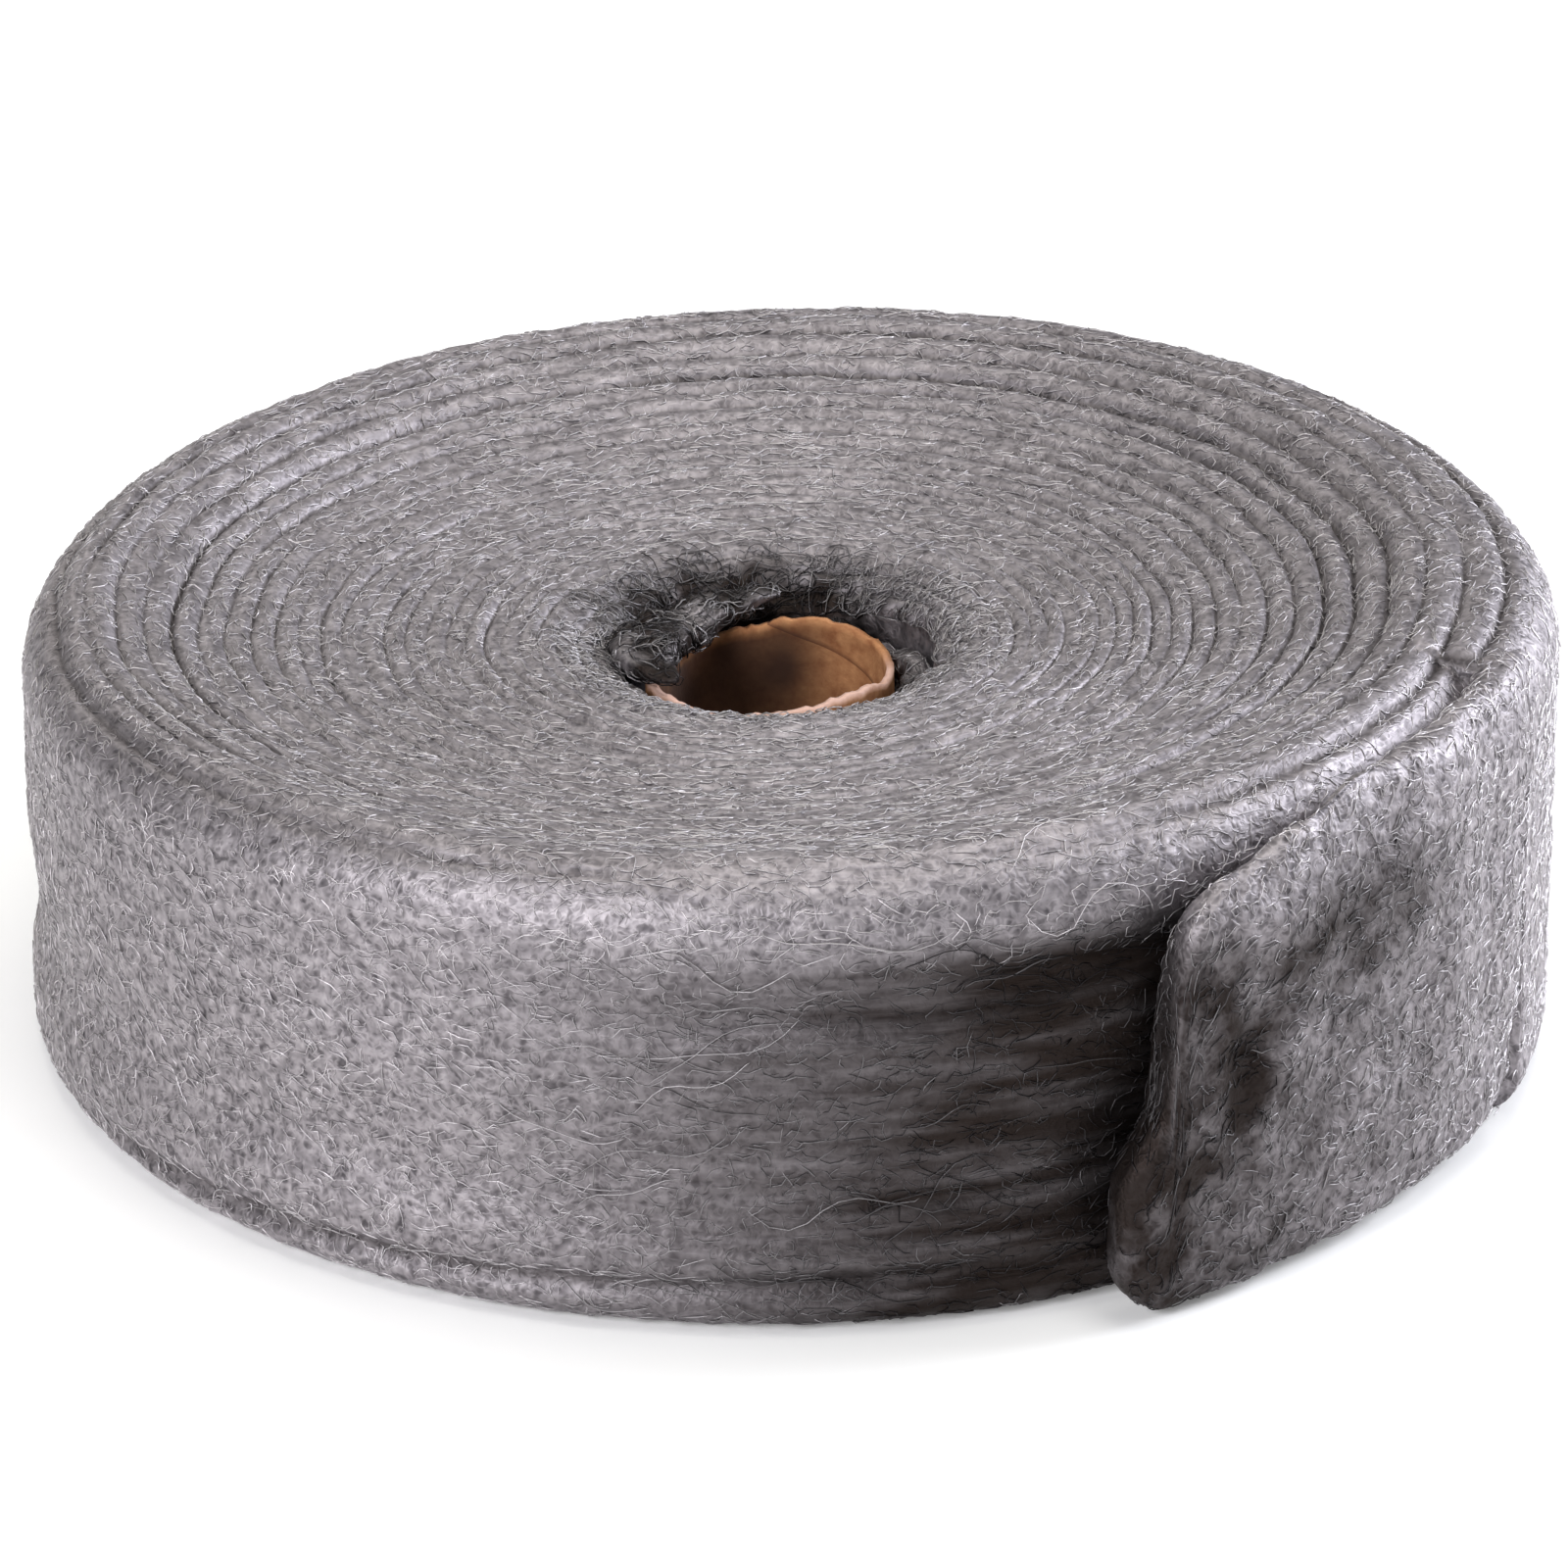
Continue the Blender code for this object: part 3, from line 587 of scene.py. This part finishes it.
def tuft(name, azimuths, nearest, furthest, lowest, highest, seed):
    """A lumpy band of wool round the axis, between two radii and two heights, drawn in at both ends."""
    round_tuft = np.linspace(0.0, 2 * np.pi, TUFT_AROUND, endpoint=False)[None, :]
    share = np.linspace(0.0, 1.0, len(azimuths))[:, None]
    taper = np.sqrt(np.clip(np.sin(np.pi * share), 0.02, 1.0))
    across = np.sign(np.cos(round_tuft)) * abs(np.cos(round_tuft)) ** 0.7
    upright = np.sign(np.sin(round_tuft)) * abs(np.sin(round_tuft)) ** 0.7
    limits = (nearest, furthest, lowest, highest)
    near, far, low, high = (np.broadcast_to(item, azimuths.shape)[:, None] for item in limits)
    radius = (near + far) / 2 + across * taper * (far - near) / 2
    height = (low + high) / 2 + upright * taper * (high - low) / 2
    way = np.radians(azimuths)[:, None] + 0 * round_tuft
    place = np.stack([radius * np.cos(way), radius * np.sin(way), height], -1)
    lumps = 0.0022 * rippled(place, 0.0070, seed) + 0.0014 * rippled(place, 0.0032, seed + 1)
    radius = np.maximum(radius - lumps * (across < 0.2) * taper, near)
    height = np.maximum(height + (lumps + 0.0004) * (upright > -0.3) * taper, low)
    # Painted shade: the tuft is darkened all over, with lighter clumps at random
    shades = np.clip(0.72 + 0.9 * rippled(place, 0.0080, seed + 2), 0.15, 0.95)
    place = np.stack([radius * np.cos(way), radius * np.sin(way), height], -1) + AXIS
    bm = bmesh.new()
    layer = bm.verts.layers.float.new("shade")
    loops = []
    for ring, values in zip(place, shades):
        points = [bm.verts.new(point) for point in ring]
        for point, value in zip(points, values):
            point[layer] = value
        loops.append([bm.edges.new(pair) for pair in zip(points, points[1:] + points[:1])])
    for here, there in zip(loops, loops[1:]):
        bmesh.ops.bridge_loops(bm, edges=here + there)
    bmesh.ops.holes_fill(bm, edges=loops[0] + loops[-1], sides=0)
    bmesh.ops.recalc_face_normals(bm, faces=bm.faces[:])
    mesh = bpy.data.meshes.new(name)
    bm.to_mesh(mesh)
    bm.free()
    mesh.shade_smooth()
    mesh.materials.append(wool)
    thing = bpy.data.objects.new(name, mesh)
    bpy.context.collection.objects.link(thing)
    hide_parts("wool_roll")
    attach(thing, "root")
    grid = np.concatenate([place, place[:, :1]], 1).transpose(1, 0, 2)
    return grid, np.concatenate([shades, shades[:, :1]], 1).T


def rim_height(azimuths):
    """Highest place of the tube's torn rim near each azimuth."""
    top = tube[:, 2] > TUBE_TOP - 0.012
    return np.array([tube[top & (away_from(tube_azimuth, middle) < 12.0), 2].max() for middle in azimuths])


over = np.linspace(88.0, 222.0, 84)
brim = rim_height(over)
drape = tuft("draped_wool", over, 0.0205, HOLE + 0.004, brim + 0.0004, brim + 0.0058, 40)
beside = np.linspace(-62.0, 112.0, 96)
outside = np.array([
    max(tube_outside[round(middle + step) % 360] for step in (-4, -2, 0, 2, 4)) for middle in beside
])
furthest = np.maximum(outside + 0.0016, HOLE + 0.002)
filled = 0.0765 - 0.0035 * eased(1 - away_from(beside, 38) / 30)
pocket = tuft("pocket_wool", beside, outside + 0.0006, furthest, 0.064, filled, 50)


# Loose end: the last stretch of the ribbon, swollen, lifted off the side and torn at its tip.
# It is soft and lumpy, with a fold near its tip, and painted shade darkens its tip, the fold and patches of
# its wool.
ROOT = 4.0
TIP = -66.0
TORN = np.array([  # Distance from the tip, lower edge, upper edge, thickness, as shares
    (0.000, 0.120, 0.28, 0.30),
    (0.004, 0.095, 0.31, 0.50),
    (0.018, 0.065, 0.34, 0.70),
    (0.055, 0.030, 0.39, 0.84),
    (0.095, 0.010, 0.45, 0.88),
    (0.125, 0.006, 0.79, 0.92),
    (0.160, 0.006, 0.84, 0.96),
    (0.220, 0.007, 0.88, 1.00),
    (0.380, 0.012, 0.93, 1.00),
    (0.600, 0.012, 0.97, 1.00),
])
steps = 160
around = 138
share = np.linspace(0.0, 1.0, steps + 1)
azimuth = ROOT + (TIP - ROOT) * share
tip_radius = turn_radius(TURNS - 1 + (SEAM - TIP + 1.0) / 360.0)
distance = np.radians(azimuth - TIP) * tip_radius / WIDTH
low, high, thick = (np.interp(distance, TORN[:, 0], TORN[:, column]) for column in (1, 2, 3))
rooted = eased((azimuth - SEAM) / 24.0)
low = low + 0.12 * rooted
high = high - 0.12 * rooted
spiral = turn_radius(TURNS + (SEAM - azimuth) / 360.0)
under = turn_radius(TURNS - 1 + (SEAM - azimuth) / 360.0)
lift = eased((-27.0 - azimuth) / 40.0)
inner = under - 0.003 + 0.0065 * lift
outer = spiral + SWELL * eased((25.0 - azimuth) / 32.0) - 0.003 * rooted
outer = outer + (tip_radius + 0.0155 - outer) * eased((-42.0 - azimuth) / 25.0)
middle = (inner + outer) / 2
half = (outer - inner) / 2 * thick
angle = np.linspace(0.0, 2 * np.pi, 1440)
across = np.sign(np.cos(angle)) * abs(np.cos(angle)) ** 0.8
along = np.sign(np.sin(angle)) * abs(np.sin(angle)) ** 0.4
flap_radius = np.zeros((steps + 1, around))
flap_height = np.zeros((steps + 1, around))
outward = np.zeros((steps + 1, around))
for step in range(steps + 1):
    # Each section is cut into equal lengths, so that no stretch of it has wider faces.
    ring = np.stack([
        middle[step] + across * half[step],
        0.0008 + WIDTH * (low[step] + high[step] + along * (high[step] - low[step])) / 2,
    ])
    length = np.concatenate([[0.0], np.cumsum(np.hypot(*np.diff(ring, axis=1)))])
    evenly = np.linspace(0.0, length[-1], around, endpoint=False)
    flap_radius[step] = np.interp(evenly, length, ring[0])
    flap_height[step] = np.interp(evenly, length, ring[1])
    outward[step] = np.interp(evenly, length, across)
flap_turnway = np.broadcast_to(np.radians(azimuth)[:, None], flap_radius.shape)
flap_x, flap_y = flap_radius * np.cos(flap_turnway), flap_radius * np.sin(flap_turnway)
flap_place = np.stack([flap_x, flap_y, flap_height], -1)
loose = eased((8.0 - azimuth) / 30.0)[:, None]
puff = 0.0018 * rippled(flap_place, 0.019, 8) + 0.0006 * rippled(flap_place, 0.007, 9)
puff = puff + 0.0004 * rippled(flap_place, 0.003, 17)
flap_degrees = azimuth[:, None]
above_fold = flap_height - 0.049
fold = eased(1 - np.hypot((flap_degrees + 56.0 - above_fold * 60) / 3.2, above_fold / 0.022))
flap_radius = flap_radius + (puff * np.sign(outward) - 0.0028 * fold * (outward > 0.3)) * loose
flap_radius = flap_radius + 0.0008 * rippled(flap_place, 0.009, 18) * loose * (abs(outward) <= 0.3)
flap_height = np.maximum(flap_height + 0.0010 * rippled(flap_place, 0.010, 19) * loose, 0.0005)

# Painted shade: it is darkened towards its torn tip, in the fold and in a patch under its upper edge,
# mottled at random
patch = eased(1 - np.hypot((flap_degrees + 44.0) / 13.0, (flap_height - 0.074) / 0.022))
spots = 0.7 + 0.9 * rippled(flap_place, 0.0095, 20) + 0.5 * rippled(flap_place, 0.004, 21)
lobe = eased((-20.0 - flap_degrees) / 36.0) * eased((0.088 - flap_height) / 0.020)
tip = eased((-55.0 - flap_degrees) / 6.0) * eased((0.088 - flap_height) / 0.012)
flap_shade = (0.08 + 0.50 * patch + 0.60 * lobe) * (0.45 + 0.55 * spots) + 0.5 * fold + 0.35 * tip
flap_shade = np.clip(flap_shade, 0.0, 0.96) * loose * eased((-14.0 - flap_degrees) / 12.0)
flap_place = settled(flap_radius * np.cos(flap_turnway), flap_radius * np.sin(flap_turnway), flap_height)

bm = bmesh.new()
layer = bm.verts.layers.float.new("shade")
loops = []
for ring, shades in zip(flap_place, flap_shade):
    points = [bm.verts.new(point) for point in ring]
    for point, value in zip(points, shades):
        point[layer] = value
    loops.append([bm.edges.new(pair) for pair in zip(points, points[1:] + points[:1])])
for near, far in zip(loops, loops[1:]):
    bmesh.ops.bridge_loops(bm, edges=near + far)
bmesh.ops.holes_fill(bm, edges=loops[0] + loops[-1], sides=0)
bmesh.ops.recalc_face_normals(bm, faces=bm.faces[:])
mesh = bpy.data.meshes.new("loose_end")
bm.to_mesh(mesh)
bm.free()
mesh.shade_smooth()
loose_end = bpy.data.objects.new("loose_end", mesh)
bpy.context.collection.objects.link(loose_end)
mesh.materials.append(wool)
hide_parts("wool_roll")
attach(loose_end, "root")


# Fibres: short curled steel strands that lie on the winding and the loose end, with larger loops
# round the hole and a few long strays. Each is a three-sided thread, and its ends dip into the wool.
random = np.random.default_rng(7)
fibre = bpy.data.materials.new("steel fibre")
fibre.use_nodes = True
tree = fibre.node_tree
shader = tree.nodes["Principled BSDF"]
shader.inputs["Metallic"].default_value = 1.0
shader.inputs["Roughness"].default_value = 0.5
pale = add_node(tree, "ShaderNodeAttribute", attribute_name="tone")
tone = add_node(
    tree, "ShaderNodeMix", {0: pale.outputs["Fac"], 6: colour("#252122"), 7: colour("#fbf6f9")},
    data_type="RGBA",
)
tree.links.new(tone.outputs[2], shader.inputs["Base Color"])


def on_grid(grid, across, along):
    """Points of a grid between its rows and columns."""
    across = np.clip(across, 0.0, grid.shape[0] - 1.001)
    along = np.clip(along, 0.0, grid.shape[1] - 1.001)
    a, b = across.astype(int), along.astype(int)
    u, v = (across - a)[..., None], (along - b)[..., None]
    near = grid[a, b] * (1 - v) + grid[a, b + 1] * v
    far = grid[a + 1, b] * (1 - v) + grid[a + 1, b + 1] * v
    return near * (1 - u) + far * u


def thread_mesh(name, grid, normals, shades, starts, length, spread, curl, rise, bends, gloss):
    """Threads on a grid of points, from starts (row, column), as one mesh of closed threads."""
    count = len(starts)
    heading = random.normal(0.0, 1.0, count) * spread + np.where(random.random(count) < 0.5, 0.0, np.pi)
    curl = random.normal(0.0, 1.0, count) * curl
    wiggle = random.normal(0.0, 0.35, count)
    phase = random.random(count) * 2 * np.pi
    stretch = length * random.uniform(0.6, 1.4, count)
    position = starts.astype(float)
    step = stretch / (bends - 1)
    spine = np.zeros((count, bends, 3))
    upward = np.zeros((count, bends, 3))
    for ring in range(bends):
        share = ring / (bends - 1)
        here = on_grid(grid, position[:, 0], position[:, 1])
        down_row = on_grid(grid, position[:, 0] + 1.0, position[:, 1]) - here
        next_column = on_grid(grid, position[:, 0], position[:, 1] + 1.0) - here
        spine[:, ring] = here
        upward[:, ring] = on_grid(normals, position[:, 0], position[:, 1])
        course = heading + curl * (share - 0.5) + wiggle * np.sin(3 * np.pi * share + phase)
        row_size = np.maximum(np.linalg.norm(down_row, axis=1), 2e-4)
        column_size = np.maximum(np.linalg.norm(next_column, axis=1), 2e-4)
        position[:, 0] += np.sin(course) * step / row_size
        position[:, 1] += np.cos(course) * step / column_size
    share = np.linspace(0.0, 1.0, bends)[None, :]
    height = rise * (np.sin(np.pi * share) * random.uniform(0.5, 1.6, (count, 1)) - 0.3)
    height = height + random.normal(0.0, 0.00005, (count, bends))
    spine = spine + upward * height[..., None]
    spine[..., 2] = np.maximum(spine[..., 2], 0.0003)
    forward = np.gradient(spine, axis=1)
    forward /= np.maximum(np.linalg.norm(forward, axis=2, keepdims=True), 1e-9)
    side = np.cross(forward, upward)
    side /= np.maximum(np.linalg.norm(side, axis=2, keepdims=True), 1e-9)
    above = np.cross(side, forward)
    thickness = random.uniform(0.00011, 0.00018, (count, 1, 1))
    corners = []
    for corner in range(3):
        turnaround = 2 * np.pi * corner / 3 + np.pi / 2
        offset = math.cos(turnaround) * side[:, 1:-1] + math.sin(turnaround) * above[:, 1:-1]
        corners.append(spine[:, 1:-1] + thickness * offset)
    rings = bends - 2
    points = np.stack(corners, 2).reshape(count, rings * 3, 3)
    points = np.concatenate([points, spine[:, :1], spine[:, -1:]], 1)
    faces = []
    for ring in range(rings - 1):
        for corner in range(3):
            a, b = ring * 3 + corner, ring * 3 + (corner + 1) % 3
            faces += [(a, b + 3, b), (a, a + 3, b + 3)]
    last = (rings - 1) * 3
    for corner in range(3):
        a, b = corner, (corner + 1) % 3
        faces += [(a, b, rings * 3), (last + b, last + a, rings * 3 + 1)]
    each = rings * 3 + 2
    faces = (np.array(faces)[None] + (np.arange(count) * each)[:, None, None]).reshape(-1, 3)
    mesh = bpy.data.meshes.new(name)
    mesh.from_pydata(points.reshape(-1, 3).tolist(), [], faces.tolist())
    # Painted shade: each thread is darkened as much as the ground's shade where it starts
    light = 1 - on_grid(shades[..., None], starts[:, 0], starts[:, 1])[:, 0]
    tone = np.repeat((0.55 + 0.45 * random.beta(1.2, 2.0, count)) * light * gloss, each)
    mesh.attributes.new("tone", "FLOAT", "POINT").data.foreach_set("value", tone.astype(np.float32))
    mesh.shade_smooth()
    mesh.materials.append(fibre)
    return mesh


def grid_normals(grid):
    down = np.gradient(grid, axis=0)
    over = np.gradient(grid, axis=1)
    normal = np.cross(over, down)
    return normal / np.maximum(np.linalg.norm(normal, axis=2, keepdims=True), 1e-12)


def spread_starts(grid, rows, columns, count):
    """Starting places spread evenly over the area of a part of a grid."""
    part = grid[rows[0] : rows[1], columns[0] : columns[1]]
    sides = np.diff(part, axis=0)[:, :-1], np.diff(part, axis=1)[:-1]
    area = np.linalg.norm(np.cross(*sides), axis=2).ravel()
    chosen = random.choice(len(area), count, p=area / area.sum())
    row, column = np.divmod(chosen, part.shape[1] - 1)
    return np.stack([row + rows[0], column + columns[0]], 1) + random.random((count, 2))


winding_normals = grid_normals(winding_place)
if winding_normals[60, 100, 2] < 0:
    winding_normals = -winding_normals
flap_grid = np.concatenate([flap_place, flap_place[:, :1]], 1).transpose(1, 0, 2)
flap_shades = np.concatenate([flap_shade, flap_shade[:, :1]], 1).T
flap_normals = grid_normals(flap_grid)
if np.dot(flap_normals[0, 120], [math.cos(math.radians(-50)), math.sin(math.radians(-50)), 0]) < 0:
    flap_normals = -flap_normals


def facing(grid, middle):
    """Normals of a grid, pointing away from a place inside it."""
    normals = grid_normals(grid)
    outward = ((grid - middle) * normals).sum()
    return normals if outward > 0 else -normals


roll = (winding_place, winding_normals, shade)
flap = (flap_grid, flap_normals, flap_shades)
hung, filling = (
    (grid, facing(grid, grid.mean(axis=0, keepdims=True)), shades) for grid, shades in (drape, pocket)
)
face_rows = (0, (TURNS - 2) * len(ACROSS) + SHOULDER_ROWS // 2 + 1)
side_rows = (face_rows[1], face_rows[1] + SHOULDER_ROWS + SIDE_ROWS)
under_rows = (side_rows[1], rows - HOLE_ROWS)
hole_rows = (0, 16)
tuft_rows = (0, TUFT_AROUND)
turn_columns = (OVERLAP, COLUMNS + OVERLAP + 1)
front_columns = (OVERLAP + COLUMNS * 32 // 360, OVERLAP + COLUMNS * 85 // 360)
batches = (  # Name, ground, rows, columns, count, length, spread, curl, rise, bends, gloss
    ("face_fibres_a", roll, face_rows, turn_columns, 6500, 0.0075, 0.35, 2.0, 0.00016, 5, 0.72),
    ("face_fibres_b", roll, face_rows, turn_columns, 6500, 0.0060, 0.90, 3.0, 0.0002, 5, 0.72),
    ("side_fibres_a", roll, side_rows, turn_columns, 6500, 0.0080, 0.35, 2.0, 0.00016, 5, 0.95),
    ("side_fibres_b", roll, side_rows, turn_columns, 6500, 0.0060, 1.20, 3.0, 0.0002, 5, 0.95),
    ("under_fibres", roll, under_rows, turn_columns, 3000, 0.0080, 0.50, 2.0, 0.0003, 5, 0.8),
    ("flap_fibres", flap, (0, around), (30, steps - 1), 4500, 0.0060, 0.90, 2.6, 0.0004, 5, 0.95),
    ("hole_fibres", roll, hole_rows, turn_columns, 1000, 0.0110, 1.50, 5.0, 0.0009, 9, 0.6),
    ("drape_fibres", hung, tuft_rows, (2, 81), 420, 0.0100, 1.50, 4.0, 0.0011, 9, 0.7),
    ("pocket_fibres", filling, tuft_rows, (2, 93), 300, 0.0080, 1.50, 4.0, 0.0005, 7, 0.7),
    ("stray_fibres", roll, side_rows, front_columns, 44, 0.0340, 0.35, 0.9, 0.0008, 12, 1.1),
)
for name, (grid, normals, shades), row_range, column_range, count, *form in batches:
    starts = spread_starts(grid, row_range, column_range, count)
    mesh = thread_mesh(name, grid, normals, shades, starts, *form)
    threads = bpy.data.objects.new(name, mesh)
    bpy.context.collection.objects.link(threads)
    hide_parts("wool_roll")
    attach(threads, "root")
